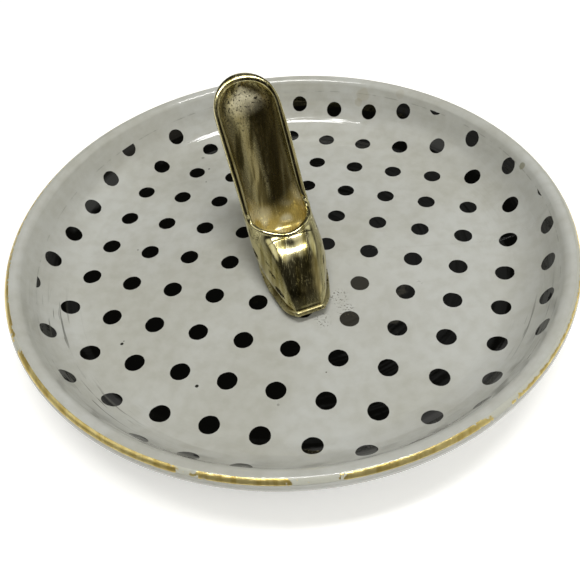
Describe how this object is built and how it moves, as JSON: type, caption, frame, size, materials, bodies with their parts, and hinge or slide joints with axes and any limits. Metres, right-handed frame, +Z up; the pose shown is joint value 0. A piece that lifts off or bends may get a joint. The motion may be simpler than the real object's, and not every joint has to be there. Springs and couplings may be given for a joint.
{
  "type": "ring dish",
  "caption": "Shallow round ceramic ring dish with a domed floor, rolled gilt rim and foot ring, and a small high-heeled shoe standing in the middle to hold rings.",
  "frame": {"origin": "centre of the flat face of the foot ring that the dish rests on", "axes": "+Z up out of the dish; -Y toward the viewer of the picture, +X to the viewer's right"},
  "size_m": [0.108, 0.108, 0.0381],
  "materials": {
    "white_glaze": "gloss",
    "rim_gold": "gloss",
    "shoe_gold": "gloss",
    "welt_gold": "satin",
    "cement": "matte"
  },
  "bodies": {
    "root": {"dish": "white_glaze", "rim_gilding": "rim_gold", "shoe_upper": "shoe_gold", "shoe_sole": "welt_gold", "shoe_heel": "shoe_gold", "sole_cement": "cement", "heel_cement": "cement"}
  },
  "joints": []
}
